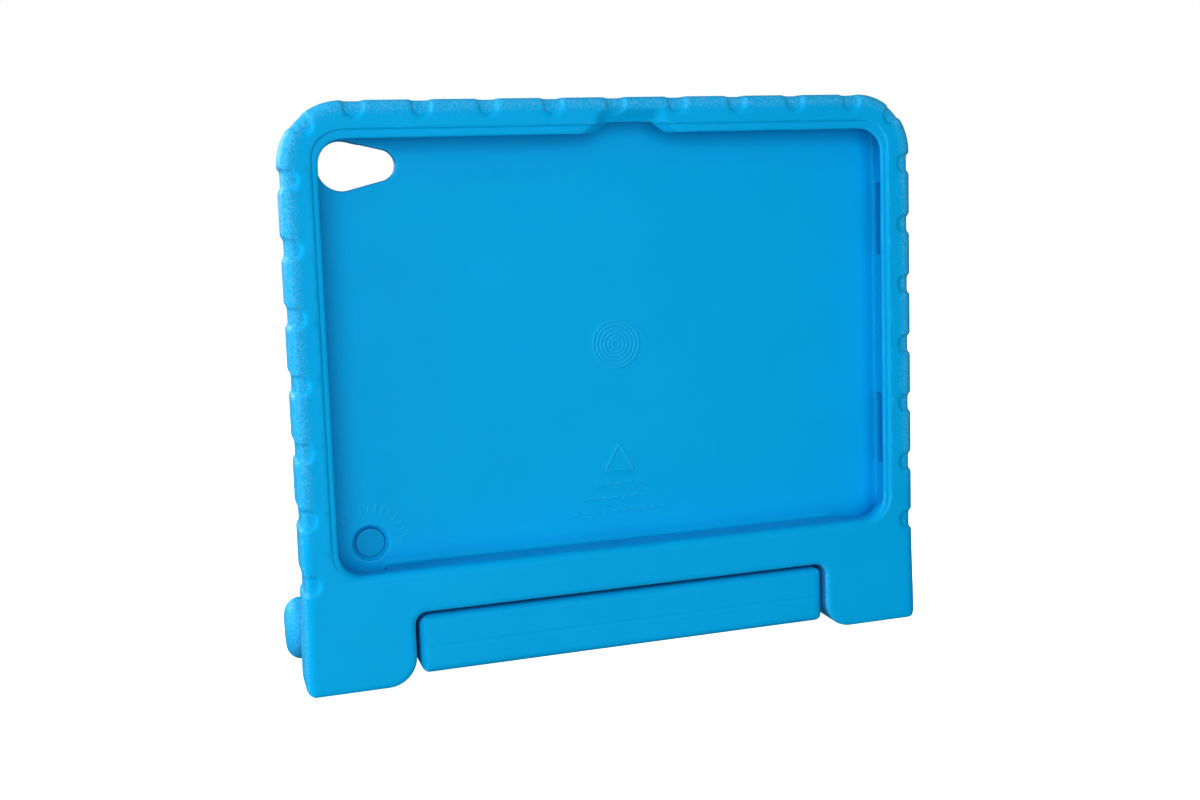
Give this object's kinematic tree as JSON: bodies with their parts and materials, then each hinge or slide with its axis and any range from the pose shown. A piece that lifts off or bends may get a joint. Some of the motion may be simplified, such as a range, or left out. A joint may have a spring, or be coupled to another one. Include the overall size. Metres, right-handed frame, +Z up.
{
  "type": "foam tablet case with swinging handle",
  "caption": "Thick moulded foam case for a tablet, with a lipped pocket, scooped grip rim, feet, and a hinged foam handle that swings from the notch to the back as a stand.",
  "frame": {"origin": "on the floor under the middle of the bounding box, with the handle folded into the notch", "axes": "+X along the width to the right, +Y from the front to the back, +Z up from the soles of the feet"},
  "size_m": [0.2844, 0.051, 0.2374],
  "materials": {
    "case_foam": "satin moulded EVA foam with a fine leather grain",
    "plug_foam": "satin moulded EVA foam",
    "handle_foam": "satin moulded EVA foam",
    "knob_foam": "satin moulded EVA foam",
    "cap_foam": "satin moulded EVA foam",
    "core_plastic": "moulded polypropylene",
    "hinge_plastic": "moulded ABS",
    "washer_plastic": "natural nylon",
    "bolt_steel": "zinc plated"
  },
  "bodies": {
    "case": {"case_body": "case_foam", "push_out_plug": "plug_foam", "hinge_bushing_left": "hinge_plastic", "hinge_bushing_right": "hinge_plastic"},
    "handle": {"handle_foam": "handle_foam", "handle_core": "core_plastic", "hinge_bolt_left": "bolt_steel", "hinge_bolt_right": "bolt_steel", "hinge_washer_inner_left": "washer_plastic", "hinge_washer_inner_right": "washer_plastic", "hinge_washer_outer_left": "washer_plastic", "hinge_washer_outer_right": "washer_plastic", "hinge_knob_left": "knob_foam", "hinge_knob_right": "knob_foam", "knob_hub_left": "hinge_plastic", "knob_hub_right": "hinge_plastic", "bolt_cap_left": "cap_foam", "bolt_cap_right": "cap_foam"}
  },
  "joints": [
    {"name": "handle_swing", "type": "hinge", "parent": "case", "child": "handle", "pos_m": [0, 0.0125, 0.0186], "axis": [1, 0, 0], "range_deg": [0, 240]}
  ]
}
